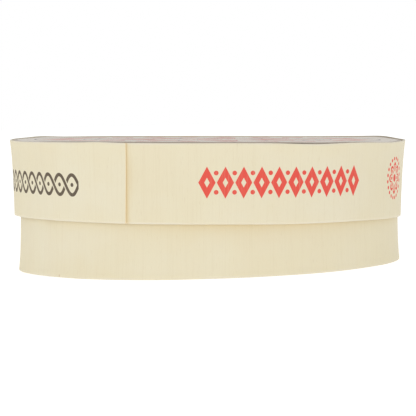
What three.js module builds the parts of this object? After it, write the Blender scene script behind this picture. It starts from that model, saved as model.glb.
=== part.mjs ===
// A ripe camembert in its round wooden box, closed. The box is rolled up from thin poplar
// veneer: a base and a lid, each a strip bent into a ring with lapped and glued ends and a disc
// set into it. The cheese lies inside in waxed paper. Millimetres, +Z up, the front is -Y, and
// the origin is the middle of the box on the surface that it stands on.

import * as THREE from 'three';
import { mergeVertices } from 'three/addons/utils/BufferGeometryUtils.js';

// ---- driving dimensions ---------------------------------------------------------------

const VENEER = 0.6; // thickness of the rolled strips
const GLUE_LINE = 0.05; // between the two layers of a lap
const LAP_ANGLE = 27; // degrees over which a strip's ends lie on each other
const RAMP_ANGLE = 9; // degrees in which the outer layer climbs on to the inner one
const STRIP_STEP = 4.5; // degrees per facet of a strip
const STRIP_LEVELS = 4; // facets of a strip over its height

const LID_RADIUS = 57.5; // outside, at the rim
const LID_HEIGHT = 21.6;
const LID_CURL = 0.5; // how far the rim spreads beyond the straight wall
const LID_CURL_DEPTH = 4; // height over which that spreading dies away
const LID_TAPER = 0.034; // radius lost per mm of depth below the rim
const LID_SEAM = -22.5; // degrees from the front, positive towards +X

const BASE_RADIUS = 54.83; // outside, at the mouth
const BASE_HEIGHT = 32.1;
const BASE_CURL = 0.62; // how far the foot spreads
const BASE_CURL_DEPTH = 5;
const BASE_SEAM = -135;
const BASE_OFFSET = new THREE.Vector3(-0.08, -0.5, 0); // the base sits off the lid's middle
const BASE_LEAN = 0.53; // how far the foot is pushed to the -X side
const BASE_LEAN_HEIGHT = 16.05; // and the height at which that has died away

const LID_TOP = 36.1; // height of the lid's rim at the middle of the box
const LID_TILT = 1.78; // degrees; the lid was pushed down further on its +X side

const DISC_GAP = 0.3; // between a disc and the strip around it
const LID_DISC = 1.2; // thickness
const BASE_DISC = 1.5;
const DISC_FACETS = 72;

const LABEL_RADIUS = 56.3;
const LABEL = 0.2; // thickness of the printed paper on the lid
const LABEL_RECESS = 0.3; // its face lies this far below the rim
const PAPER_GAP = 0.2; // between a sheet of paper and what it covers

const WRAP = 0.3; // paper and its folds
const WRAP_HOLE = 20; // radius left open where the folds meet underneath

const CHEESE_RADIUS = 52.5;
const CHEESE_HEIGHT = 28.5;
const CHEESE_EDGE = 6; // radius of its rounded edges
const CHEESE_FACETS = 64;
const EDGE_FACETS = 4;

// ---- materials ------------------------------------------------------------------------

const finish = (color, roughness) => new THREE.MeshStandardMaterial({ color, roughness, metalness: 0 });

const materials = {
  veneer: finish(0xe9dfc2, 0.75),
  disc: finish(0xe3d5b2, 0.8),
  label: finish(0xcfccc8, 0.45),
  paper: finish(0xf3f1ea, 0.5),
  rind: finish(0xf4f0e2, 0.9),
};

// ---- the rolled strips ----------------------------------------------------------------

// A strip is cut flat, with x along it, y through its thickness and z up. Rolling it turns x
// into an angle that starts at the hidden end and runs once around and over the lap. The
// outer layer climbs by one thickness just before it meets the hidden end.
function rolledStrip({ height, seam, outerRadius, sideways = () => 0 }) {
  const turn = 360 + LAP_ANGLE;
  const strip = new THREE.BoxGeometry(turn, VENEER, height, turn / STRIP_STEP, 1, STRIP_LEVELS);
  strip.translate(turn / 2, VENEER / 2, height / 2);

  const corner = new THREE.Vector3();
  const position = strip.getAttribute('position');
  for (let i = 0; i < position.count; i++) {
    corner.fromBufferAttribute(position, i);
    const angle = THREE.MathUtils.degToRad(seam - LAP_ANGLE + corner.x);
    const climb = THREE.MathUtils.smoothstep(corner.x, 360 - RAMP_ANGLE, 360);
    const radius = outerRadius(corner.z) - corner.y + climb * (VENEER + GLUE_LINE);
    const x = radius * Math.sin(angle) + sideways(corner.z);
    position.setXYZ(i, x, -radius * Math.cos(angle), corner.z);
  }
  return welded(strip);
}

function welded(geometry) {
  geometry.deleteAttribute('normal');
  geometry.deleteAttribute('uv');
  const merged = mergeVertices(geometry);
  merged.computeVertexNormals();
  return merged;
}

const curl = (amount, distance, depth) => amount * Math.exp(-distance / depth);

function lidRadius(z) {
  const below = LID_HEIGHT - z;
  return LID_RADIUS - LID_CURL + curl(LID_CURL, below, LID_CURL_DEPTH) - LID_TAPER * below;
}

const baseRadius = (z) => BASE_RADIUS + curl(BASE_CURL, z, BASE_CURL_DEPTH);
const baseLean = (z) => -BASE_LEAN * Math.max(0, 1 - z / BASE_LEAN_HEIGHT);

function lidBand() {
  const strip = rolledStrip({ height: LID_HEIGHT, seam: LID_SEAM, outerRadius: lidRadius });
  strip.translate(0, 0, -LID_HEIGHT);
  return strip;
}

function baseBand() {
  return rolledStrip({
    height: BASE_HEIGHT,
    seam: BASE_SEAM,
    outerRadius: baseRadius,
    sideways: baseLean,
  });
}

// ---- discs and label ------------------------------------------------------------------

function disc(radius, thickness, bottom) {
  const plate = new THREE.CylinderGeometry(radius, radius, thickness, DISC_FACETS);
  plate.rotateX(Math.PI / 2);
  plate.translate(0, 0, bottom + thickness / 2);
  return plate;
}

// depths below the rim, in the lid's own group
const LID_DISC_TOP = LABEL_RECESS + LABEL + PAPER_GAP;
const LID_DISC_BOTTOM = LID_DISC_TOP + LID_DISC;

const lidLabel = () => disc(LABEL_RADIUS, LABEL, -LABEL_RECESS - LABEL);

function lidDisc() {
  const radius = lidRadius(LID_HEIGHT - LID_DISC_BOTTOM) - VENEER - DISC_GAP;
  return disc(radius, LID_DISC, -LID_DISC_BOTTOM);
}

function baseDisc() {
  const radius = baseRadius(BASE_DISC) - VENEER - DISC_GAP;
  return disc(radius, BASE_DISC, 0).translate(baseLean(0), 0, 0);
}

// ---- the cheese and its paper ---------------------------------------------------------

// Half of a rounded slab's outline, from the axis underneath to the axis on top. A hole
// underneath leaves the outline open from that radius inwards.
function slabOutline(radius, bottom, height, edge, hole = 0) {
  const quarter = Math.PI / 2;
  const points = [new THREE.Vector2(hole, bottom)];
  for (const [level, start] of [[bottom + edge, -quarter], [bottom + height - edge, 0]]) {
    for (let i = 0; i <= EDGE_FACETS; i++) {
      const angle = start + (quarter * i) / EDGE_FACETS;
      points.push(
        new THREE.Vector2(radius - edge + edge * Math.cos(angle), level + edge * Math.sin(angle)),
      );
    }
  }
  points.push(new THREE.Vector2(0, bottom + height));
  return points;
}

function turned(outline) {
  const body = new THREE.LatheGeometry(outline, CHEESE_FACETS);
  body.rotateX(Math.PI / 2);
  return welded(body);
}

const WRAP_BOTTOM = BASE_DISC + PAPER_GAP;
const CHEESE_BOTTOM = WRAP_BOTTOM + WRAP + PAPER_GAP;

const cheese = () => turned(slabOutline(CHEESE_RADIUS, CHEESE_BOTTOM, CHEESE_HEIGHT, CHEESE_EDGE));

// The paper follows the cheese all over, and its folds end around the hole underneath.
function wrapper() {
  const skin = (grow) =>
    slabOutline(
      CHEESE_RADIUS + grow,
      CHEESE_BOTTOM - grow,
      CHEESE_HEIGHT + 2 * grow,
      CHEESE_EDGE + grow,
      WRAP_HOLE,
    );
  const inside = skin(PAPER_GAP).reverse();
  const outside = skin(PAPER_GAP + WRAP);
  return turned([...inside, ...outside]);
}

// ---- the whole object -----------------------------------------------------------------

function piece(name, geometry, material) {
  const mesh = new THREE.Mesh(geometry, material);
  mesh.name = name;
  return mesh;
}

const base = new THREE.Group();
base.position.copy(BASE_OFFSET);
base.add(
  piece('base_band', baseBand(), materials.veneer),
  piece('base_disc', baseDisc(), materials.disc),
  piece('wrapper', wrapper(), materials.paper),
  piece('cheese', cheese(), materials.rind),
);

const lid = new THREE.Group();
lid.position.z = LID_TOP;
lid.rotation.y = THREE.MathUtils.degToRad(LID_TILT);
lid.add(
  piece('lid_band', lidBand(), materials.veneer),
  piece('lid_disc', lidDisc(), materials.disc),
  piece('lid_label', lidLabel(), materials.label),
);

const camembert = new THREE.Group();
camembert.add(base, lid);

export default camembert;
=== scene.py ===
# %% [markdown]
# # A camembert in its round veneer box
#
# A camembert box is rolled up from sliced poplar: a base and a lid, each a long thin strip bent
# into a ring with lapped and glued ends, and a round board set into it. Here the box is closed,
# with the lid pushed on a little askew, and the wrapped cheese lies inside. The frame holds the
# plain solids at their real size. This script replaces each of them with a piece that has the
# real shape of the wood, the paper and the rind, and gives each its finish.

from math import atan2, cos, exp, pi, radians, sin, tau

import bmesh
import bpy
from mathutils import Matrix, Vector, noise


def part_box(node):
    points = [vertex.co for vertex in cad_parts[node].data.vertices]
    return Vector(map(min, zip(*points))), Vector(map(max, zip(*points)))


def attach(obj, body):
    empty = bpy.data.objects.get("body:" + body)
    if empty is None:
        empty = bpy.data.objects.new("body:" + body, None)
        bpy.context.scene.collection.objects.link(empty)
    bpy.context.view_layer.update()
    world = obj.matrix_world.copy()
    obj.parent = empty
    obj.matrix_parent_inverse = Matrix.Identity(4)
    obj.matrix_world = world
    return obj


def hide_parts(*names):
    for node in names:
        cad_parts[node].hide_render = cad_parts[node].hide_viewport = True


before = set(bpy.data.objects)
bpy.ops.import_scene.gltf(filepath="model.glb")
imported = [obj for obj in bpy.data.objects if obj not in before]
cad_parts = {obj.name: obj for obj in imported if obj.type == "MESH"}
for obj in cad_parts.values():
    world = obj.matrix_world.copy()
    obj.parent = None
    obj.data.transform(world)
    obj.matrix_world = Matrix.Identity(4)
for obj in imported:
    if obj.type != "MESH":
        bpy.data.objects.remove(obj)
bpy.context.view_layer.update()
MM = 0.001
print("nodes in the frame:", ", ".join(sorted(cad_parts)))

# %% [markdown]
# ## Where the two halves sit
#
# The base stands level and the lid is tilted, so each half gets a frame of its own: a matrix
# that carries a piece made upright around the Z axis to its place. The lid's matrix comes from
# the label, a flat disc: its largest faces look along the lid's axis, and the middle of its box
# is on that axis. The base's comes from the cheese that fills it, and its foot, which is pushed
# to one side, has one from its board. A solid that is measured in such a frame gives round
# numbers again.

# %% The frames of the lid and the base
def facing(node):
    """The direction in which the upward faces of a CAD disc look."""
    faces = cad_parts[node].data.polygons
    return max(faces, key=lambda face: face.normal.z * face.area).normal.copy()


def middle(node):
    """The middle of a CAD node's box."""
    low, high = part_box(node)
    return (low + high) / 2


lid_tilt = Vector((0, 0, 1)).rotation_difference(facing("lid_label")).to_matrix().to_4x4()
lid_place = Matrix.Translation(middle("lid_label")) @ lid_tilt
base_place = Matrix.Translation((middle("cheese").x, middle("cheese").y, 0))
foot_place = Matrix.Translation((middle("base_disc").x, middle("base_disc").y, 0))
FOOT_LEAN = middle("base_disc").x - middle("cheese").x


# %% Measure the solids in those frames
def extent(node, place):
    """Radius (towards the back), lowest and highest level of a CAD node in its half's frame."""
    back = place.inverted()
    points = [back @ vertex.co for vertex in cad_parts[node].data.vertices]
    levels = [point.z for point in points]
    return max(point.y for point in points), min(levels), max(levels)


LID_RADIUS, LID_FOOT, LID_RIM = extent("lid_band", lid_place)
FOOT_RADIUS, _, BASE_HEIGHT = extent("base_band", base_place)
LABEL_RADIUS, LABEL_BACK, LABEL_FACE = extent("lid_label", lid_place)
print(f"lid: radius {LID_RADIUS / MM:.1f} mm, height {(LID_RIM - LID_FOOT) / MM:.1f} mm")
print(f"base: radius {FOOT_RADIUS / MM:.1f} mm at the foot, height {BASE_HEIGHT / MM:.1f} mm")

# %% [markdown]
# ## A few helpers for making pieces
#
# Every piece ends in the same way: its bmesh becomes an object at the origin, rides on the one body of
# this object, takes the place of its CAD node, which is hidden, and gets its material. Corners sharper
# than 40 degrees stay crisp and everything else is shaded smooth. The boards, the label, the cheese and
# its paper all start as half a section that is spun around the upright axis, and `smoothstep` fades a
# change of shape in softly.

# %% Finish a piece
SHARP = radians(40)
SAME_PLACE = 0.001 * MM  # vertices closer than this are merged


def finished(name, bm, node, material):
    """Makes the object name from a bmesh, as the piece that stands for a CAD node."""
    for face in bm.faces:
        face.smooth = True
    for edge in bm.edges:
        edge.smooth = edge.calc_face_angle(0) < SHARP
    mesh = bpy.data.meshes.new(name)
    bm.to_mesh(mesh)
    bm.free()
    mesh.materials.append(material)
    made = bpy.data.objects.new(name, mesh)
    bpy.context.scene.collection.objects.link(made)
    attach(made, "root")
    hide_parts(node)
    size = made.dimensions / MM
    print(f"{name}: {len(mesh.polygons)} faces, {size.x:.1f} x {size.y:.1f} x {size.z:.1f} mm")
    return made


# %% Spin an outline around the upright axis
def turned(outline, steps):
    """A closed body of revolution, from the corners of half its section."""
    bm = bmesh.new()
    corners = [bm.verts.new((radius, 0, level)) for radius, level in outline]
    edges = [bm.edges.new(pair) for pair in zip(corners, corners[1:])]
    bmesh.ops.spin(
        bm, geom=corners + edges, cent=(0, 0, 0), axis=(0, 0, 1), angle=tau, steps=steps, use_merge=True
    )
    bmesh.ops.remove_doubles(bm, verts=bm.verts, dist=SAME_PLACE)
    bmesh.ops.recalc_face_normals(bm, faces=bm.faces)
    return bm


def with_rings(outline, spacing):
    """The same outline with extra corners, so that none lie further apart than the spacing."""
    fine = [outline[0]]
    for corner in outline[1:]:
        last = Vector(fine[-1])
        pieces = max(1, round((Vector(corner) - last).length / spacing))
        fine += [tuple(last.lerp(Vector(corner), step / pieces)) for step in range(1, pieces + 1)]
    return fine


def smoothstep(value):
    """Goes from 0 to 1 with the value, and levels out at both ends."""
    value = min(max(value, 0.0), 1.0)
    return value * value * (3 - 2 * value)


# %% [markdown]
# ## Shader maths as plain sums
#
# A pattern such as a row of printed lozenges is a formula, and a formula is hard to read as a
# tangle of Math nodes. So one small class wraps an output socket and lets Python's own operators
# add those nodes. Everything else comes from one method of the finish that is being mixed.

# %% A wire that can be reckoned with
class Wire:
    """An output socket of a material, on which sums and comparisons can be written."""

    def __init__(self, finish, socket):
        self.finish = finish
        self.socket = socket

    def maths(self, operation, *values):
        inputs = dict(enumerate((self, *values)))
        return self.finish.node("ShaderNodeMath", {"operation": operation}, inputs)

    def reflected(self, operation, first):
        return self.finish.node("ShaderNodeMath", {"operation": operation}, {0: first, 1: self})

    def output(self, name):
        return Wire(self.finish, self.socket.node.outputs[name])

    def __add__(self, other):
        return self.maths("ADD", other)

    def __radd__(self, other):
        return self.reflected("ADD", other)

    def __sub__(self, other):
        return self.maths("SUBTRACT", other)

    def __rsub__(self, other):
        return self.reflected("SUBTRACT", other)

    def __mul__(self, other):
        return self.maths("MULTIPLY", other)

    def __rmul__(self, other):
        return self.reflected("MULTIPLY", other)

    def __truediv__(self, other):
        return self.maths("DIVIDE", other)

    def __rtruediv__(self, other):
        return self.reflected("DIVIDE", other)

    def __pow__(self, other):
        return self.maths("POWER", other)

    def __abs__(self):
        return self.maths("ABSOLUTE")

    def __lt__(self, other):
        return self.maths("LESS_THAN", other)

    def __gt__(self, other):
        return self.maths("GREATER_THAN", other)


# %% A finish, and the one method that adds its nodes
class Finish:
    """A material being mixed on its Principled shader."""

    def __init__(self, name):
        self.material = bpy.data.materials.new(name)
        self.material.use_nodes = True
        self.tree = self.material.node_tree
        self.shader = self.tree.nodes["Principled BSDF"]

    def node(self, kind, settings=None, inputs=None, output=0):
        """Adds a node, sets it up, joins or fills its sockets and gives one of its outputs."""
        made = self.tree.nodes.new(kind)
        for key, value in (settings or {}).items():
            if key == "stops":
                fill_ramp(made.color_ramp, value)
            else:
                setattr(made, key, value)
        for key, value in (inputs or {}).items():
            self.feed(made.inputs[key], value)
        return Wire(self, made.outputs[output])

    def feed(self, socket, value):
        if isinstance(value, Wire):
            self.tree.links.new(value.socket, socket)
        else:
            socket.default_value = value

    def surface(self, **values):
        """Fills the shader's own sockets, whose names are written with underscores."""
        for key, value in values.items():
            self.feed(self.shader.inputs[key.replace("_", " ")], value)


def fill_ramp(ramp, stops):
    """Sets a colour ramp's stops from (place, colour) pairs."""
    while len(ramp.elements) < len(stops):
        ramp.elements.new(1.0)
    for element, (place, colour) in zip(ramp.elements, stops):
        element.position = place
        element.color = colour


# %% [markdown]
# ## Masks and tints
#
# A drawn shape is a distance: how many millimetres a point lies inside its outline. `inked`
# turns that into a mask with an edge as soft as ink on wood, `above` makes one from the peaks
# of a noise, and `over` lays one colour on another through a mask. Colours are written as a
# paint chart gives them, from 0 to 255.

# %% Colour, noise and mask helpers
def tint(red, green, blue):
    """A colour of a paint chart as the linear light that a shader works with."""
    linear = [((c / 255 + 0.055) / 1.055) ** 2.4 if c > 10 else c / 3295 for c in (red, green, blue)]
    return (*linear, 1.0)


def over(mask, under, upper):
    """The colour upper laid on the colour under where the mask is 1."""
    inputs = {0: mask, 6: under, 7: upper}
    return mask.finish.node("ShaderNodeMix", {"data_type": "RGBA"}, inputs, output=2)


def clipped(wire):
    """A value held between 0 and 1."""
    return wire.finish.node("ShaderNodeClamp", None, {0: wire})


def above(pattern, level, slope):
    """A mask that climbs from 0 to 1 where a pattern rises above a level."""
    return clipped((pattern - level) * slope)


def inked(depth, softness=0.07):
    """A mask of 1 where a point lies inside an outline, from its depth inside in mm."""
    return clipped(depth / softness + 0.5)


def both(first, second):
    """The smaller of two values, which is where both masks hold."""
    return first.maths("MINIMUM", second)


def either(first, second):
    """The larger of two values, which is where one mask or the other holds."""
    return first.maths("MAXIMUM", second)


def distance(across, down):
    """How far a point lies from a centre, from its two offsets."""
    return (across * across + down * down).maths("SQRT")


def stretched(coordinates, x, y, z=1.0):
    """Coordinates multiplied by one factor each, which sets the size of a pattern's grain."""
    inputs = {0: coordinates, 1: (x, y, z)}
    return coordinates.finish.node("ShaderNodeVectorMath", {"operation": "MULTIPLY"}, inputs)


def grain(coordinates, detail=4.0, roughness=0.55, distortion=0.0):
    """Noise from 0 to 1 over the coordinates."""
    inputs = {"Vector": coordinates, "Scale": 1.0, "Detail": detail}
    inputs |= {"Roughness": roughness, "Distortion": distortion}
    return coordinates.finish.node("ShaderNodeTexNoise", {"noise_dimensions": "3D"}, inputs)


def bumps(relief, strength, depth):
    """The normal of a surface with a relief, which is as deep as is given."""
    inputs = {"Height": relief, "Strength": strength, "Distance": depth}
    return relief.finish.node("ShaderNodeBump", None, inputs)


def solid_mm(finish):
    """The object's own coordinates in mm."""
    place = finish.node("ShaderNodeTexCoord", output="Object")
    return stretched(place, 1 / MM, 1 / MM, 1 / MM)


# %% [markdown]
# ## Bare poplar veneer
#
# Poplar is a pale, even wood. What is seen on the sliced face is fine upright fibre, slow bands
# of a warmer and a cooler cream, short darker pores, and here and there a brown fleck of a knot
# that never grew. The fibres run up the box, across the length of the strip, because a strip
# cut that way bends without cracking. The pattern reads the strip's flat coordinates, so it
# follows the sheet around the box and through the lap.

# %% The veneer's colours and marks
CREAM = tint(231, 222, 193)
WARM_CREAM = tint(229, 217, 187)
PALE_CREAM = tint(233, 227, 206)
PORE = tint(199, 178, 140)
FLECK = tint(176, 128, 84)
END_GRAIN = tint(240, 214, 168)
FRAYED = tint(232, 226, 212)
GLUE_AND_SHADE_TINT = tint(217, 190, 132)
PAINTED_RIM_SHADE_TINT = tint(140, 122, 92)

FIBRES = (2.6, 0.045)  # how many to a mm, across the fibre and along it
BANDS = (0.11, 0.012)
CLOUDS = (0.05, 0.06)
PORES = (7.0, 0.5)
FLECKS = (0.09, 0.06)
FLECK_SIZE = 0.035  # as a share of the way from one to the next
FLECK_CHANCE = 0.55  # the share of them that are left out


def veneer_face(finish, sheet, seed):
    """Colour, relief and fibre of a sliced poplar face; sheet is in mm with the fibre along Y."""
    shift = (seed, seed / 3, seed / 7)
    place = finish.node("ShaderNodeVectorMath", {"operation": "ADD"}, {0: sheet, 1: shift})
    fibre = grain(stretched(place, *FIBRES), detail=5.0, roughness=0.62, distortion=0.15)
    bands = grain(stretched(place, *BANDS), detail=3.0, distortion=0.6)
    cloud = grain(stretched(place, *CLOUDS), detail=4.0)
    pores = above(grain(stretched(place, *PORES), detail=2.0, roughness=0.4), 0.64, 9.0)
    colour = over(above(bands, 0.38, 2.6) * 0.45, CREAM, WARM_CREAM)
    colour = over(above(cloud, 0.42, 2.4) * 0.6, colour, PALE_CREAM)
    colour = over(above(fibre, 0.5, 3.0) * 0.16, colour, PORE)
    colour = over(pores * 0.2, colour, PORE)
    colour = over(flecks(finish, place), colour, FLECK)
    relief = fibre * 0.6 + cloud * 0.3 - pores * 0.25
    return colour, relief, fibre


def flecks(finish, place):
    """Sparse brown specks, drawn out a little along the fibre."""
    inputs = {"Vector": stretched(place, *FLECKS), "Scale": 1.0, "Randomness": 1.0}
    spots = finish.node("ShaderNodeTexVoronoi", {"feature": "F1"}, inputs)
    chance = finish.node("ShaderNodeSeparateColor", None, {0: spots.output("Color")})
    return clipped((FLECK_SIZE - spots) * 40.0) * (chance > FLECK_CHANCE) * 0.4


# %% [markdown]
# ## The print on the lid
#
# A maker prints the lid's strip while it is still flat. This one carries plain ornament only: a
# row of red lozenges, a braided brown wave and a small red flower, once at the front and once
# more behind. Each is a distance formula over two numbers: how far around the lid a point lies
# and how far below the rim. Both are in millimetres, and so is every size of the print. Ink
# sinks into the fibre, so the mask is thinned where the fibre is coarse.

# %% Inks, and where the ornaments start around the lid
RED_INK = tint(229, 73, 62)
BROWN_INK = tint(86, 72, 58)
MEAN_SHARE = 0.985  # a flared strip's mean radius, as a share of its largest
ARC = LID_RADIUS / MM * MEAN_SHARE * radians(1)  # mm of strip for each degree around the lid

LOZENGE_ROWS = (-2.7, 166.0)  # degrees from the front towards +X
FLOWERS = (68.0, 233.0)
WAVES = (248.0, 84.0)

# %% Draw a row of lozenges
LOZENGE_COUNT = 10
LOZENGE_PITCH = 4.9
LOZENGE_DEPTH = 10.4  # its middle line, below the rim
LOZENGE_REACH = 3.4  # from the middle to the outline, on the lozenge's own slanted scale
LOZENGE_HOLLOW = 1.05
LOZENGE_SLANT = (1.48, 0.8)  # what a mm across and a mm down count for on that scale
LOZENGE_EDGE = 0.1  # softness of its outline
DOT_OFF = 2.55  # from the middle line to a dot
DOT_RADIUS = 0.62
DOTS_START = 0.8  # leaves out the half dots at a row's two ends


def lozenge_row(arc, depth, start):
    """Tall lozenges with an open middle, and two dots between each two."""
    along = arc - start * ARC
    cell = (along / LOZENGE_PITCH).maths("FRACT")
    across = abs(cell - 0.5) * LOZENGE_PITCH
    down = abs(depth - LOZENGE_DEPTH)
    slope = across * LOZENGE_SLANT[0] + down * LOZENGE_SLANT[1]
    solid = inked(LOZENGE_REACH - slope, LOZENGE_EDGE)
    hollow = inked(LOZENGE_HOLLOW - slope, LOZENGE_EDGE)
    aside = (0.5 - abs(cell - 0.5)) * LOZENGE_PITCH
    dots = inked(DOT_RADIUS - distance(aside, down - DOT_OFF))
    row = LOZENGE_COUNT * LOZENGE_PITCH
    inside = (along > 0.0) * (along < row)
    kept = (along > DOTS_START) * (along < row - DOTS_START)
    return solid * (1 - hollow) * inside + dots * kept


# %% Draw a flower
FLOWER_DEPTH = 10.4
PETAL_PAIRS = 4.0
PETAL_ROOT = 2.0  # radius between two petals, and how much further a petal reaches
PETAL_REACH = 2.1
PETAL_LINE = 0.42  # half widths of its outline and of the veins in it
VEIN_LINE = 0.36
VEIN_START = 1.9
VEIN_END = 3.3
HEART_RADIUS = 1.1
BEADS = 20
BEAD_RING = 5.6
BEAD_PITCH = 1.75
BEAD_RADIUS = 0.52


def flower(arc, depth, place):
    """An eight-petalled flower in outline, inside a ring of dots."""
    across = arc - place * ARC
    down = depth - FLOWER_DEPTH
    radius = distance(across, down)
    turn = down.maths("ARCTAN2", across)
    petal = abs((turn * PETAL_PAIRS).maths("COSINE")).maths("SQRT") * PETAL_REACH + PETAL_ROOT
    outline = inked(PETAL_LINE - abs(radius - petal))
    off_axis = abs((turn * PETAL_PAIRS).maths("SINE")) * radius / PETAL_PAIRS
    vein = inked(VEIN_LINE - off_axis) * (radius > VEIN_START) * (radius < VEIN_END)
    heart = inked(HEART_RADIUS - radius)
    bead = (turn * (BEADS / tau)).maths("FRACT") - 0.5
    beads = inked(BEAD_RADIUS - distance(bead * BEAD_PITCH, radius - BEAD_RING))
    return either(either(outline, vein * 0.8), either(heart, beads))


# %% Draw a braided wave
WAVE_LOOPS = 15
WAVE_PITCH = 4.9  # from one crossing to the next
WAVE_DEPTH = 11.6
WAVE_SWING = 2.7
STRAND = 0.48  # half the width of a strand
STRAND_GAP = 0.35  # left bare beside the upper strand where two cross
LOOP_DOT = 0.55


def braided_wave(arc, depth, start):
    """Two strands that cross over and under each other, with a dot in every loop."""
    along = arc - start * ARC
    phase = along * (pi / WAVE_PITCH)
    swing = phase.maths("SINE") * WAVE_SWING
    lean = (phase.maths("COSINE") * (WAVE_SWING * pi / WAVE_PITCH)) ** 2.0
    slant = (lean + 1.0).maths("SQRT")
    down = depth - WAVE_DEPTH
    first = abs(down - swing) / slant
    second = abs(down + swing) / slant
    crossing = (along > WAVE_PITCH / 2) * (along < (WAVE_LOOPS - 0.5) * WAVE_PITCH)
    first_on_top = phase.maths("COSINE") > 0.0
    near_first = inked(STRAND + STRAND_GAP - first)
    near_second = inked(STRAND + STRAND_GAP - second)
    first_ink = inked(STRAND - first) * (1 - near_second * (1 - first_on_top) * crossing)
    second_ink = inked(STRAND - second) * (1 - near_first * first_on_top * crossing)
    loop = ((along / WAVE_PITCH).maths("FRACT") - 0.5) * WAVE_PITCH
    dot = inked(LOOP_DOT - distance(loop, down))
    inside = (along > 0.0) * (along < WAVE_LOOPS * WAVE_PITCH)
    return either(either(first_ink, second_ink), dot) * inside


# %% [markdown]
# ## Worn edges, glue and painted shade
#
# The strip's ends are a little more orange than its face and its long edges are pale, where the knife
# has frayed the fibre, in tufts that reach a little way on to the face. Glue has soaked into the wood
# beside the seam, and there the wood is also painted warmer and darker as shade beside the lap. The
# base is painted warmer and darker just below the lid's edge, as painted shade under the lid, and the
# rim's inner face near its top edge is painted darker, as painted shade inside the rim. The tufts are
# noise near the sheet's long edges. The rest is marked on the mesh, in attributes that the material
# reads: the cut ends, the frayed edges, the glue stain with the painted shade, and the painted shade
# inside the rim.

# %% Mix the two veneers
BURR = 0.6  # how far the tufts reach, in mm from the edge
TUFTS = 0.045  # how many to a mm of edge


def flat_sheet(finish):
    """The strip's flat coordinates in mm, read from its UV map."""
    flat = finish.node("ShaderNodeUVMap", {"uv_map": "flat"})
    return stretched(flat, 1 / MM, 1 / MM, 0.0)


def mark(finish, name):
    """An attribute of the mesh, from 0 to 1."""
    return finish.node("ShaderNodeAttribute", {"attribute_name": name}, output="Fac")


def burr(finish, sheet, height):
    """How frayed the face is: in tufts, close to either long edge."""
    level = finish.node("ShaderNodeSeparateXYZ", None, {0: sheet}).output("Y")
    near = both(level, height / MM - level)
    tufts = grain(stretched(sheet, TUFTS, 0.0), detail=3.0)
    return clipped((BURR - near) * 3.0) * clipped(tufts * 4.0 - 1.4)


def veneer(name, seed, height, printed=False):
    """Sliced poplar, bare or printed."""
    finish = Finish(name)
    sheet = flat_sheet(finish)
    colour, relief, fibre = veneer_face(finish, sheet, seed)
    if printed:
        colour = printed_lid(finish, sheet, colour, fibre)
    colour = over(burr(finish, sheet, height) * 0.5, colour, FRAYED)
    colour = over(mark(finish, "cut") * 0.8, colour, END_GRAIN)
    colour = over(mark(finish, "frayed") * 0.75, colour, FRAYED)
    # The glue stain by the seam, also painted warm shade beside the lap, and painted shade on the base
    # under the lid.
    colour = over(mark(finish, "glue"), colour, GLUE_AND_SHADE_TINT)
    # Painted shade on the rim's inner face near its top edge.
    colour = over(mark(finish, "soil"), colour, PAINTED_RIM_SHADE_TINT)
    normal = bumps(relief, 0.35, 0.05 * MM)
    finish.surface(Base_Color=colour, Roughness=0.62 + fibre * 0.2, Normal=normal)
    finish.surface(Specular_IOR_Level=0.3)
    return finish.material


def printed_lid(finish, sheet, colour, fibre):
    """The lid's ornaments on its bare wood. X of the sheet is counted from the hidden end."""
    parts = finish.node("ShaderNodeSeparateXYZ", None, {0: sheet})
    arc = parts - (LAP - LID_SEAM) / radians(1) * ARC
    depth = (LID_RIM - LID_FOOT) / MM - parts.output("Y")
    red = either(*[lozenge_row(arc, depth, start) for start in LOZENGE_ROWS])
    for place in FLOWERS:
        red = either(red, flower(arc, depth, place))
    brown = either(*[braided_wave(arc, depth, start) for start in WAVES])
    soaked = 1 - above(fibre, 0.52, 4.0) * 0.2
    colour = over(clipped(red) * soaked * 0.96, colour, RED_INK)
    return over(brown * soaked * 0.95, colour, BROWN_INK)


# %% [markdown]
# ## Rolling up a strip
#
# The strip is modelled the way it is made. It starts flat: a grid of the strip's length and
# height, extruded to the veneer's thickness, its cut edges bevelled a hair. While it is flat it
# gets its UV map and its marks. Then every point is rolled: its place along the strip becomes
# an angle, and its place through the strip a distance from the axis. In the last few degrees
# before the hidden end the outer layer climbs on to the inner one, which makes the lap. Thin
# wood never lies perfectly round, so the radius ripples slightly and the edges wander. Where the
# box has been knocked or squeezed, a soft bump around one place moves the rim, the foot or the
# whole wall.

# %% Sizes of the strips
VENEER = 0.6 * MM
GLUE_LINE = 0.05 * MM
LAP = radians(27)
RAMP = radians(9)
COLUMNS = 387  # one to each degree of a strip
EDGE_ROUNDING = 0.1 * MM
SKIVED = 2 * MM  # how far from its end the outer layer has been pared
SKIVING = 0.4  # and the share of its thickness that is gone there

LID_SEAM = radians(-22.5)
BASE_SEAM = radians(-135)
LID_CURL = 0.5 * MM  # how far the rim spreads beyond the straight wall
LID_CURL_DEPTH = 4 * MM
LID_TAPER = 0.034  # radius lost with depth below the rim
FOOT_CURL = 0.62 * MM
FOOT_CURL_DEPTH = 5 * MM
LEAN_HEIGHT = 16.05 * MM  # where the foot's push to one side has died away


def lid_radius(level):
    """Outside radius of the lid, which flares out towards its rim."""
    below = LID_RIM - LID_FOOT - level
    return LID_RADIUS - LID_CURL + LID_CURL * exp(-below / LID_CURL_DEPTH) - LID_TAPER * below


def base_radius(level):
    """Outside radius of the base, whose foot spreads around its board."""
    return FOOT_RADIUS - FOOT_CURL + FOOT_CURL * exp(-level / FOOT_CURL_DEPTH)


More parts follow.
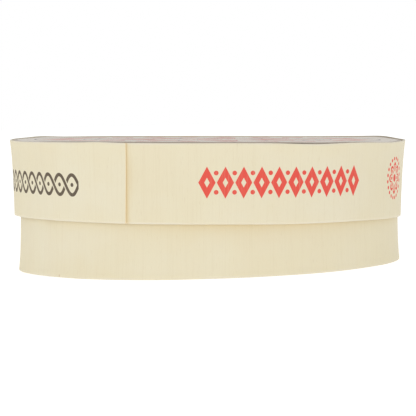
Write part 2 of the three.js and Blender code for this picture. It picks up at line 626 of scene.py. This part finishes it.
# %% Cut a strip flat
def cut_strip(length, height, rows):
    """A flat strip: x along it, y through it and z up, with UV map and marks."""
    bm = bmesh.new()
    bmesh.ops.create_grid(bm, x_segments=COLUMNS, y_segments=rows, size=0.5)
    bmesh.ops.scale(bm, vec=(length, height, 1), verts=bm.verts)
    bmesh.ops.rotate(bm, cent=(0, 0, 0), matrix=Matrix.Rotation(radians(90), 3, "X"), verts=bm.verts)
    bmesh.ops.translate(bm, vec=(length / 2, 0, height / 2), verts=bm.verts)
    grown = bmesh.ops.extrude_face_region(bm, geom=bm.faces[:])["geom"]
    inner = [item for item in grown if isinstance(item, bmesh.types.BMVert)]
    bmesh.ops.translate(bm, vec=(0, VENEER, 0), verts=inner)
    bmesh.ops.recalc_face_normals(bm, faces=bm.faces)
    corners = [edge for edge in bm.edges if edge.calc_face_angle(0) > SHARP]
    bmesh.ops.bevel(
        bm, geom=corners, offset=EDGE_ROUNDING, affect="EDGES", segments=2, profile=0.5, material=-1
    )
    flat = bm.loops.layers.uv.new("flat")
    cut = bm.verts.layers.float.new("cut")
    frayed = bm.verts.layers.float.new("frayed")
    for face in bm.faces:
        for loop in face.loops:
            loop[flat].uv = (loop.vert.co.x, loop.vert.co.z)
    for vertex in bm.verts:
        on_face = min(abs(vertex.co.y), abs(vertex.co.y - VENEER)) < EDGE_ROUNDING / 4
        at_end = min(vertex.co.x, length - vertex.co.x) < EDGE_ROUNDING
        vertex[cut] = 1.0 if at_end and not on_face else 0.0
        vertex[frayed] = 1.0 if not at_end and not on_face else 0.0
    return bm


# %% Roll it up
RIPPLE = 0.14 * MM  # how far the wall lies out of round
RIPPLE_PACE = 1.6  # how often it does, around the ring
RIPPLE_HEIGHT = 30 * MM
WANDER = 0.22 * MM  # how far an edge strays
RIM_SHADE_PLACE = (108, 25, 0.5)  # where the painted shade on the rim's inner face is strongest, written like a knock
RIM_SHADE_AROUND = 0.1  # how much painted shade it has all around
RIM_SHADE_FADE = 0.3 * MM


def rolled(bm, strip, seed):
    """Rolls a flat strip into a lapped ring and carries it to its place."""
    length, height = strip["length"], strip["height"]
    mean = length / (tau + LAP)
    glue = bm.verts.layers.float.new("glue")
    soil = bm.verts.layers.float.new("soil")
    for vertex in bm.verts:
        along, through, level = vertex.co
        share = level / height
        turn = along / mean
        slant = strip["slant"] * (share - 0.5) * smoothstep((turn - tau) / LAP)
        angle = strip["seam"] - LAP + turn + slant
        climb = smoothstep((turn - tau + RAMP) / RAMP) * (VENEER + GLUE_LINE)
        end = smoothstep(1 - (length - along) / SKIVED)
        pressed = end * (GLUE_LINE + SKIVING * (VENEER - through))
        around = Vector((cos(angle), sin(angle), level / RIPPLE_HEIGHT)) * RIPPLE_PACE
        ripple = noise.noise(around + Vector((seed, 0, 0))) * RIPPLE
        edge = (2 * share - 1) ** 6 * strip["loose_rim" if share > 0.5 else "loose_foot"]
        wander = noise.noise(around * 1.5 + Vector((0, seed, turn * 0.4))) * WANDER * edge
        wander += knocked(angle, strip["rim"]) * share**3
        wander += knocked(angle, strip["foot"]) * (1 - share) ** 3
        squeeze = knocked(angle, strip["squeezed"]) * (1 - share)
        radius = strip["radius"](level) - through + climb - pressed + ripple - squeeze
        # One attribute holds the glue stain and painted shade by the seam and the painted shade under
        # the lid.
        vertex[glue] = seam_glue_and_shade(turn - LAP, share) + strip["under_lid_painted_shade"](angle, level)
        # Painted shade on the inner face, just below the rim's top edge.
        inner_side = smoothstep((through / VENEER - 0.3) * 3)
        near_rim = smoothstep((strip["rim_shade_depth"] - height + level) / RIM_SHADE_FADE)
        vertex[soil] = (RIM_SHADE_AROUND + knock(angle, *RIM_SHADE_PLACE) / MM) * inner_side * near_rim
        vertex.co = strip["place"] @ Vector(
            (radius * sin(angle) + strip["lean"](level), -radius * cos(angle), level + wander)
        )
    bmesh.ops.recalc_face_normals(bm, faces=bm.faces)
    return bm


def knock(angle, place, width, rise):
    """What a knock of some rise in mm does at an angle, from its place and width in degrees."""
    away = (angle - radians(place) + pi) % tau - pi
    return rise * MM * exp(-((away / radians(width)) ** 2))


def knocked(angle, knocks):
    """What several knocks do together."""
    return sum(knock(angle, *each) for each in knocks)


# %% Glue stain and painted shade beside the seam, and painted shade on the base under the lid
SEAM_STAIN_AND_SHADE = 0.5
SEAM_MARK_SPAN = (-0.01, 0.3)  # radians past the seam, outside which there is neither glue stain nor painted shade
SEAM_MARK_REACH = (0.008, 0.016)  # radians: everywhere, and more where it is widest
SEAM_MARK_PLACE = 0.6  # how far up it is widest, and over how much of the height
SEAM_MARK_HEIGHT = 0.25
UNDER_LID_SHADE_PLACE = radians(12)  # where the painted shade under the lid is strongest, and how far around
UNDER_LID_SHADE_WIDTH = radians(36)
UNDER_LID_SHADE = (0.2, 0.3)  # everywhere, and more at that place
UNDER_LID_SHADE_DEPTH = (1.2 * MM, 1.5 * MM)  # and how far below the lid's edge it reaches


def seam_glue_and_shade(past, share):
    """How much the seam's adhesive has stained the wood beside it, together with painted warm shade
    beside the lap, most of all half-way up; past is an angle.
    """
    reach = SEAM_MARK_REACH[0] + SEAM_MARK_REACH[1] * exp(-(((share - SEAM_MARK_PLACE) / SEAM_MARK_HEIGHT) ** 2))
    beside_seam = SEAM_MARK_SPAN[0] < past < SEAM_MARK_SPAN[1]
    return SEAM_STAIN_AND_SHADE * exp(-max(past, 0.0) / reach) if beside_seam else 0.0


def painted_under_lid_shade(angle, level):
    """How strongly the base is painted darker and warmer just below the lid's edge: painted shade under
    the lid.
    """
    side = Vector((sin(angle), -cos(angle))) * FOOT_RADIUS
    lid_edge = (lid["place"] @ Vector((side.x, side.y, 0))).z
    front = exp(-(((angle - UNDER_LID_SHADE_PLACE) / UNDER_LID_SHADE_WIDTH) ** 2))
    reach = UNDER_LID_SHADE_DEPTH[0] + UNDER_LID_SHADE_DEPTH[1] * front
    return (UNDER_LID_SHADE[0] + UNDER_LID_SHADE[1] * front) * exp(-max(0.0, lid_edge - level) / reach)


# %% Make the lid's strip
BACK_KNOCKS = ((113, 10.5, 0.5), (130, 16, 0.25), (185, 28, -0.17), (242, 8, 0.3))
LEFT_KNOCKS = ((-88, 9, -0.2), (-66, 18, -0.27), (-31, 5, 0.17))
RIGHT_KNOCKS = ((0, 18, 0.08), (31, 9, -0.28), (63, 12, -0.28))
lid_height = LID_RIM - LID_FOOT
lid = {
    "length": (tau + LAP) * ARC * MM / radians(1),
    "height": lid_height,
    "seam": LID_SEAM,
    "slant": 0.011,
    "radius": lid_radius,
    "lean": lambda level: 0.0,
    "place": lid_place @ Matrix.Translation((0, 0, LID_FOOT)),
    "rim": BACK_KNOCKS + LEFT_KNOCKS + RIGHT_KNOCKS,
    "foot": ((-92, 26, -0.3), (90, 24, -0.28)),
    "squeezed": ((-52, 22, 0.55), (55, 22, -0.35)),
    "loose_rim": 0.3,
    "loose_foot": 1.0,
    "rim_shade_depth": 1.2 * MM,
    "under_lid_painted_shade": lambda angle, level: 0.0,
}
lid_strip = rolled(cut_strip(lid["length"], lid_height, rows=26), lid, seed=3.0)
printed_veneer = veneer("printed_veneer", seed=11.0, height=lid_height, printed=True)
finished("lid_strip", lid_strip, "lid_band", printed_veneer)

# %% Make the base's strip
base = {
    "length": (tau + LAP) * FOOT_RADIUS * MEAN_SHARE,
    "height": BASE_HEIGHT,
    "seam": BASE_SEAM,
    "slant": 0.006,
    "radius": base_radius,
    "lean": lambda level: FOOT_LEAN * max(0.0, 1 - level / LEAN_HEIGHT),
    "place": base_place,
    "rim": (),
    "foot": ((10, 13, 0.15), (-57, 12, 0.18), (51, 9, 0.1)),
    "squeezed": (),
    "loose_rim": 1.0,
    "loose_foot": 0.0,
    "rim_shade_depth": 0.1 * MM,
    "under_lid_painted_shade": painted_under_lid_shade,
}
base_strip = rolled(cut_strip(base["length"], BASE_HEIGHT, rows=36), base, seed=9.0)
plain_veneer = veneer("plain_veneer", seed=47.0, height=BASE_HEIGHT)
finished("base_strip", base_strip, "base_band", plain_veneer)

# %% [markdown]
# ## The boards
#
# A thin round board closes the lid and another the base. They are turned bodies with a slightly
# broken edge, and their grain runs straight across, so the same poplar is used with the fibre
# along Y of the object.
#
# The lid's board has warped. Its label stands a little proud of the rim at the front and lies
# below it behind, and at its very edge it goes up and down with the rim where the back was
# knocked, and has stayed down at three places in front. One function says how far a point has
# moved up, and both the board and the label are bent with it.

# %% How the lid's board has warped
BOARD_LIFT = 0.2 * MM
FRONT_LIFT = 0.35 * MM  # more than that at the front, and less behind
END_LIFT = 0.15 * MM  # and more again at both
PULLED_DOWN = ((-66, 18, -0.45), (33, 10, -0.18), (64, 14, -0.42))
EDGE_HOLD = 0.95  # how much of a knock reaches the board's edge
EDGE_POWER = 12  # and how soon it dies away inwards


def warped(point):
    """How far the lid's board has warped up at a point."""
    front = -point.y / LID_RADIUS
    out = point.xy.length / LABEL_RADIUS
    angle = atan2(point.x, -point.y)
    pulled = knocked(angle, BACK_KNOCKS + PULLED_DOWN) * EDGE_HOLD * out**EDGE_POWER
    return BOARD_LIFT + FRONT_LIFT * front + END_LIFT * front * front + pulled


# %% Turn the boards
BROKEN_EDGE = 0.15 * MM
BOARD_STEPS = 180
BOARD_RINGS = 2 * MM


def board(name, node, place, finish, bow=None):
    """A thin round board with its edges taken off; a bowed one lies lower by the thickness of an
    adhesive line.
    """
    radius, low, high = extent(node, place)
    outline = [
        (0, low),
        (radius - BROKEN_EDGE, low),
        (radius, low + BROKEN_EDGE),
        (radius, high - BROKEN_EDGE),
        (radius - BROKEN_EDGE, high),
        (0, high),
    ]
    bm = turned(with_rings(outline, BOARD_RINGS), BOARD_STEPS)
    if bow:
        for vertex in bm.verts:
            vertex.co.z += bow(vertex.co) - GLUE_LINE
    bmesh.ops.transform(bm, matrix=place, verts=bm.verts)
    return finished(name, bm, node, finish)


def board_wood():
    """Poplar board, sawn a little coarser than the veneer."""
    finish = Finish("poplar_board")
    colour, relief, fibre = veneer_face(finish, solid_mm(finish), seed=83.0)
    normal = bumps(relief, 0.5, 0.08 * MM)
    finish.surface(Base_Color=colour, Roughness=0.68 + fibre * 0.2, Normal=normal)
    finish.surface(Specular_IOR_Level=0.3)
    return finish.material


poplar = board_wood()
board("lid_board", "lid_disc", lid_place, poplar, warped)
board("base_board", "base_disc", foot_place, poplar)

# %% [markdown]
# ## The label
#
# A round of smooth silvery paper is glued on the lid. It is a turned body too, but its faces are
# cut into many rings first, so that it can follow the board and cockle: damp glue leaves paper
# very slightly wavy, most of all towards its edge. The ornament is plain: rings, a ring of
# lozenges like the ones on the side, and a rosette, in a muted red and a grey violet. It is a set
# of formulas over two numbers as well: how far a point lies from the middle, and how far around.

# %% Make the label
LABEL_STEPS = 180
LABEL_RINGS = 40
COCKLE = 0.05 * MM
SLOW_WAVE = 19 * MM
QUICK_WAVE = 7 * MM
SKIRT = 0.15 * MM  # how far the paper reaches down over the board's edge


def label_body():
    """The paper disc, cockled, with its flat coordinates as UV map."""
    edge = (LABEL_FACE - LABEL_BACK) / 4
    back = LABEL_BACK - SKIRT
    outline = [
        (0, LABEL_FACE),
        (LABEL_RADIUS - edge, LABEL_FACE),
        (LABEL_RADIUS, LABEL_FACE - edge),
        (LABEL_RADIUS, back + edge),
        (LABEL_RADIUS - edge, back),
        (0, back),
    ]
    bm = turned(with_rings(outline, LABEL_RADIUS / LABEL_RINGS), LABEL_STEPS)
    flat = bm.loops.layers.uv.new("flat")
    for face in bm.faces:
        for loop in face.loops:
            loop[flat].uv = loop.vert.co.xy
    for vertex in bm.verts:
        share = vertex.co.xy.length / LABEL_RADIUS
        slow = noise.noise(vertex.co / SLOW_WAVE + Vector((5, 1, 0)))
        quick = noise.noise(vertex.co / QUICK_WAVE) * share**3
        vertex.co.z += COCKLE * (slow + 0.6 * quick) + warped(vertex.co)
    bmesh.ops.transform(bm, matrix=lid_place, verts=bm.verts)
    return bm


# %% The label's lines
PETALS = 9
ROSETTE_RADIUS = 24.0  # middle, swing and width of the rosette's two lines, in mm
ROSETTE_SWING = 7.0
ROSETTE_LINE = 1.1
WAVY_LINES = ((33.2, 1.0), (11.5, 3.0))  # middle and swing of the finer ones
WAVY_LINE = 0.7
RINGS = (50.2, 36.0)
RING_LINE = 0.6


def ring(radius, at):
    """A round line."""
    return inked(RING_LINE / 2 - abs(radius - at))


def rosette(radius, turn, at, swing, petals, width):
    """A line that swings in and out around the label."""
    line = (turn * petals).maths("COSINE") * swing + at
    return inked(width / 2 - abs(radius - line) * 0.8)


def violet_lines(radius, turn):
    """The two rings, one line of the rosette and the finer wavy lines."""
    violet = either(*[ring(radius, at) for at in RINGS])
    petals = rosette(radius, turn, ROSETTE_RADIUS, -ROSETTE_SWING, PETALS, ROSETTE_LINE)
    violet = either(violet, petals)
    for at, swing in WAVY_LINES:
        violet = either(violet, rosette(radius, turn, at, swing, 2 * PETALS, WAVY_LINE))
    return violet


# %% The label's solid shapes
LABEL_LOZENGES = 24
LABEL_LOZENGE_RING = 43.0
LABEL_LOZENGE_REACH = 3.9  # from the middle to the outline, on the lozenge's own slanted scale
LABEL_LOZENGE_HOLLOW = 1.1
LABEL_LOZENGE_SLANT = 0.68
WASH_RADIUS = 23.0  # middle of the washed petals' outline, which swings like the rosette
WASH_START = 15.6
HEART_SIZE = 4.6
HEART_RING = 3.2
HEART_LINE = 0.4
SEEDS = 18
SEED_RING = 6.6
SEED_PITCH = 2.3
SEED_RADIUS = 0.75


def red_shapes(radius, turn):
    """A ring of lozenges, the rosette's other line, and a heart with seeds around it."""
    cell = (turn * (LABEL_LOZENGES / tau)).maths("FRACT") - 0.5
    pitch = tau * LABEL_LOZENGE_RING / LABEL_LOZENGES
    slope = abs(cell) * pitch + abs(radius - LABEL_LOZENGE_RING) * LABEL_LOZENGE_SLANT
    hollow = inked(LABEL_LOZENGE_HOLLOW - slope, LOZENGE_EDGE)
    lozenges = inked(LABEL_LOZENGE_REACH - slope, LOZENGE_EDGE) * (1 - hollow)
    petals = rosette(radius, turn, ROSETTE_RADIUS, ROSETTE_SWING, PETALS, ROSETTE_LINE)
    heart = inked(HEART_SIZE - radius) * (1 - inked(HEART_LINE - abs(radius - HEART_RING)))
    seed = (turn * (SEEDS / tau)).maths("FRACT") - 0.5
    seeds = inked(SEED_RADIUS - distance(seed * SEED_PITCH, radius - SEED_RING))
    return either(either(lozenges, petals), either(heart, seeds))


def washed_petals(radius, turn):
    """The petals between the rosette's lines, which are printed in a paler red."""
    tips = (turn * PETALS).maths("COSINE") * ROSETTE_SWING + WASH_RADIUS
    return inked(tips - radius) * inked(radius - WASH_START)


# %% Mix the label's paper and lay it on the lid
SILVER = tint(241, 232, 219)
SILVER_SHADE = tint(232, 223, 210)
ROSE_INK = tint(216, 110, 100)
ROSE_WASH = tint(220, 150, 136)
VIOLET_INK = tint(142, 132, 138)
BORDER_INK = tint(182, 167, 154)
BORDER_START = 55.3


def label_paper():
    """Smooth silvery paper with its ornament printed in muted inks."""
    finish = Finish("label_paper")
    sheet = flat_sheet(finish)
    x = finish.node("ShaderNodeSeparateXYZ", None, {0: sheet})
    y = x.output("Y")
    radius = distance(x, y)
    turn = y.maths("ARCTAN2", x)
    pulp = grain(stretched(sheet, 3.0, 3.0), detail=3.0)
    cloud = grain(stretched(sheet, 0.06, 0.06), detail=3.0)
    colour = over(clipped(cloud * 1.6 - 0.3), SILVER, SILVER_SHADE)
    colour = over(washed_petals(radius, turn) * 0.75, colour, ROSE_WASH)
    colour = over(violet_lines(radius, turn) * 0.8, colour, VIOLET_INK)
    colour = over(red_shapes(radius, turn) * 0.9, colour, ROSE_INK)
    colour = over(inked(radius - BORDER_START) * 0.7, colour, BORDER_INK)
    normal = bumps(pulp, 0.15, 0.03 * MM)
    finish.surface(Base_Color=colour, Roughness=0.38 + pulp * 0.12, Normal=normal)
    return finish.material


finished("lid_paper", label_body(), "lid_label", label_paper())

# %% [markdown]
# ## The cheese
#
# Inside lies the ripe cheese: a low drum with rounded edges that has sagged a little, its rind
# a white velvety bloom, pressed with the faint bars of the rack it drained on and tanned in
# spots where it has been handled. It is turned from half its section and then pushed in with
# noise, and it leaves a little slack in its paper.

# %% Shape the cheese
CHEESE_STEPS = 160
CHEESE_RINGS = 1.5 * MM
CHEESE_EDGE = 6 * MM
SLACK = 0.35 * MM  # between the cheese and the paper around it
LUMP = 16 * MM
PIMPLE = 5 * MM


def rounded_outline(radius, low, high, edge, arcs=8, start=0.0):
    """Half the section of a drum with rounded edges, from underneath to the top."""
    points = [(start, low)]
    for centre, first in ((low + edge, -pi / 2), (high - edge, 0.0)):
        for step in range(arcs + 1):
            angle = first + pi / 2 * step / arcs
            points.append((radius - edge + edge * cos(angle), centre + edge * sin(angle)))
    return points + [(0.0, high)]


def ripe_cheese():
    """The drum, pushed in by its lumps and sagging towards the middle of its top."""
    radius, low, high = extent("cheese", base_place)
    outline = rounded_outline(radius - SLACK, low + SLACK, high - SLACK / 2, CHEESE_EDGE)
    bm = turned(with_rings(outline, CHEESE_RINGS), CHEESE_STEPS)
    for vertex in bm.verts:
        outward = Vector((vertex.co.x, vertex.co.y, 0)) / radius
        lump = noise.noise(vertex.co / LUMP) * 0.5 + noise.noise(vertex.co / PIMPLE) * 0.16
        vertex.co -= outward * abs(lump) * 0.8 * MM
        if vertex.co.z > (low + high) / 2:
            sag = smoothstep(1 - outward.length) * 0.5
            vertex.co.z -= (sag + abs(lump) * 0.3) * MM
    bmesh.ops.transform(bm, matrix=base_place, verts=bm.verts)
    return bm


RIND = tint(246, 242, 231)
RIND_SHADE = tint(232, 220, 192)
RIND_TAN = tint(208, 170, 120)
BAR_PITCH = 9.0  # mm from one bar of the rack to the next


def bloomy_rind():
    """White bloom over a warmer rind, with the bars of the rack pressed into it."""
    finish = Finish("bloomy_rind")
    place = solid_mm(finish)
    velvet = grain(stretched(place, 2.2, 2.2, 2.2), detail=5.0, roughness=0.7)
    patches = grain(stretched(place, 0.09, 0.09, 0.09), detail=5.0)
    parts = finish.node("ShaderNodeSeparateXYZ", None, {0: place})
    bars = above((parts * (tau / BAR_PITCH)).maths("COSINE"), 0.72, 5.0)
    colour = over(above(patches, 0.45, 3.0), RIND, RIND_SHADE)
    colour = over(above(patches * velvet, 0.33, 9.0) * 0.5, colour, RIND_TAN)
    colour = over(bars * 0.25, colour, RIND_SHADE)
    normal = bumps(velvet * 0.5 + patches - bars * 0.4, 0.6, 0.5 * MM)
    finish.surface(Base_Color=colour, Roughness=0.85 + velvet * 0.1, Normal=normal)
    finish.surface(Sheen_Weight=0.3)
    return finish.material


finished("ripe_cheese", ripe_cheese(), "cheese", bloomy_rind())

# %% [markdown]
# ## The paper around the cheese
#
# A square of waxed paper is laid over the cheese and gathered underneath, so the top is smooth,
# the side is lightly creased and the underside is a fan of flat pleats around a small opening.
# The skin is turned with an inner and an outer face, and the pleats are pressed into it by the
# angle around the cheese: each rises slowly by a few thicknesses of paper and drops again.

# %% Fold the paper
PAPER = 0.1 * MM
PAPER_EDGE = 6.4 * MM
PAPER_RINGS = 2 * MM
ROOM = 0.45 * MM  # left around the smooth paper for its pleats
HOLE = 18 * MM
PLEATS = 28
PLEAT_STEPS = 10
PLEAT_RISE = 0.35  # mm
FOLD = 0.85  # share of a pleat over which it rises, before it drops
CREASE = 0.12  # mm
CREASE_PACE = 9


def paper_outline(depth):
    """Half the paper's section, some depth inside its outer face."""
    radius, low, high = extent("wrapper", base_place)
    side, bottom, top = radius - ROOM - depth, low + ROOM + depth, high - ROOM / 2 - depth
    return rounded_outline(side, bottom, top, PAPER_EDGE - depth, start=HOLE)


def folded_paper():
    """The paper skin with its pleats underneath and its creases around the side."""
    radius, low, high = extent("wrapper", base_place)
    section = paper_outline(PAPER)[::-1] + paper_outline(0.0)
    bm = turned(with_rings(section, PAPER_RINGS), steps=PLEATS * PLEAT_STEPS)
    for vertex in bm.verts:
        level = (vertex.co.z - low) / (high - low)
        away = vertex.co.xy.length / radius
        turn = (Vector((1, 0)).angle_signed(vertex.co.xy, 0.0) / tau) % 1.0
        fold = (turn * PLEATS) % 1.0
        ridge = smoothstep(fold / FOLD) if fold < FOLD else smoothstep((1 - fold) / (1 - FOLD))
        under = smoothstep(1 - level * 1.6)
        around = Vector((cos(turn * tau) * CREASE_PACE, sin(turn * tau) * CREASE_PACE, level))
        crease = noise.noise(around) * (1 - level)
        outward = Vector((vertex.co.x, vertex.co.y, 0)).normalized()
        push = (ridge * under * PLEAT_RISE + crease * CREASE) * MM
        vertex.co += outward * push * smoothstep(away * 1.4 - 0.4)
        vertex.co.z -= ridge * PLEAT_RISE * MM if level < 0.1 else 0
    bmesh.ops.transform(bm, matrix=base_place, verts=bm.verts)
    return bm


WAX_WHITE = tint(244, 242, 236)
WAX_GREY = tint(228, 226, 220)


def waxed_paper():
    """White paper with a faint crumple and the sheen of wax."""
    finish = Finish("waxed_paper")
    place = solid_mm(finish)
    crumple = grain(stretched(place, 0.12, 0.12, 0.12), detail=6.0, roughness=0.6, distortion=1.2)
    pulp = grain(stretched(place, 1.5, 1.5, 1.5), detail=3.0)
    colour = over(above(crumple, 0.4, 2.5), WAX_WHITE, WAX_GREY)
    normal = bumps(crumple + pulp * 0.1, 0.4, 0.4 * MM)
    finish.surface(Base_Color=colour, Roughness=0.32 + pulp * 0.15, Normal=normal)
    return finish.material


finished("cheese_paper", folded_paper(), "wrapper", waxed_paper())

# %% [markdown]
# ## Floor, light and camera
#
# The box stands on a plain white floor in soft, almost shadowless light, as in a catalogue. A
# white world lights it from all around, a very soft sun gives the round side a little shape, and
# the floor is a table lit from below, which keeps it white and throws light up under the lid.

# %% Lay the floor
FLOOR_RADIUS = 3.0
FLOOR_GLOW = 0.45


def white_floor():
    """A round white floor with the faintest mottle, lit a little from below."""
    finish = Finish("white_floor")
    place = finish.node("ShaderNodeTexCoord", output="Object")
    mottle = grain(stretched(place, 4.0, 4.0, 4.0), detail=2.0)
    finish.surface(Base_Color=over(mottle, tint(250, 250, 250), tint(252, 252, 252)), Roughness=0.9)
    finish.surface(Specular_IOR_Level=0.0, Emission_Color=(1, 1, 1, 1), Emission_Strength=FLOOR_GLOW)
    bm = bmesh.new()
    bmesh.ops.create_circle(bm, cap_ends=True, radius=FLOOR_RADIUS, segments=96)
    mesh = bpy.data.meshes.new("floor")
    bm.to_mesh(mesh)
    bm.free()
    mesh.materials.append(finish.material)
    floor = bpy.data.objects.new("floor", mesh)
    bpy.context.scene.collection.objects.link(floor)
    print(f"floor: {2 * FLOOR_RADIUS:.0f} m across")


white_floor()

# %% Hang the lights
ROOM_LIGHT = 0.695
SUN_STRENGTH = 0.365
SUN_PLACE = (-0.33, -0.9, 0.3)
SUN_ANGLE = radians(50)


def white_room():
    """A world that lights the object a little less brightly than it looks behind it."""
    world = bpy.data.worlds.new("white_room")
    world.use_nodes = True
    nodes = world.node_tree.nodes
    lit = nodes["Background"]
    lit.inputs["Color"].default_value = (1, 1, 1, 1)
    lit.inputs["Strength"].default_value = ROOM_LIGHT
    seen = nodes.new("ShaderNodeBackground")
    seen.inputs["Color"].default_value = (1, 1, 1, 1)
    path = nodes.new("ShaderNodeLightPath")
    mix = nodes.new("ShaderNodeMixShader")
    links = world.node_tree.links
    links.new(path.outputs["Is Camera Ray"], mix.inputs[0])
    links.new(lit.outputs[0], mix.inputs[1])
    links.new(seen.outputs[0], mix.inputs[2])
    links.new(mix.outputs[0], nodes["World Output"].inputs["Surface"])
    bpy.context.scene.world = world


def soft_sun():
    """A sun as wide as a studio's softbox, which lights the whole floor evenly."""
    lamp = bpy.data.lights.new("soft_sun", "SUN")
    lamp.energy = SUN_STRENGTH
    lamp.angle = SUN_ANGLE
    lit = bpy.data.objects.new("soft_sun", lamp)
    lit.location = SUN_PLACE
    lit.rotation_euler = Vector(SUN_PLACE).to_track_quat("Z", "Y").to_euler()
    bpy.context.scene.collection.objects.link(lit)


white_room()
soft_sun()
bpy.context.scene.view_settings.view_transform = "Standard"
print(f"room {ROOM_LIGHT}, sun {SUN_STRENGTH}, floor {FLOOR_GLOW}")

# %% [markdown]
# The camera stands more than half a metre away, low, with a long lens, so the round box is seen
# almost straight from the side and only a sliver of its top shows. It is rolled by under two
# degrees, which makes the tilted lid look level and the base look tilted.

# %% Set the camera
CAMERA_DISTANCE = 593 * MM
CAMERA_HEIGHT = 48.2 * MM
CAMERA_ASIDE = -0.46 * MM
CAMERA_PITCH = radians(3.115)
CAMERA_ROLL = radians(-1.696)
LENS = 175.65
SENSOR = 36.0

camera = bpy.data.cameras.new("camera")
camera.sensor_width = SENSOR
camera.lens = LENS
camera.clip_start = 0.05
camera.clip_end = 20
viewer = bpy.data.objects.new("camera", camera)
look = Vector((0, cos(CAMERA_PITCH), -sin(CAMERA_PITCH)))
viewer.location = (CAMERA_ASIDE, -CAMERA_DISTANCE, CAMERA_HEIGHT)
viewer.rotation_euler = (
    look.to_track_quat("-Z", "Y").to_matrix() @ Matrix.Rotation(CAMERA_ROLL, 3, "Z")
).to_euler()
bpy.context.scene.collection.objects.link(viewer)
bpy.context.scene.camera = viewer
print(f"camera: {CAMERA_DISTANCE / MM:.0f} mm away, lens {LENS:.0f} mm")
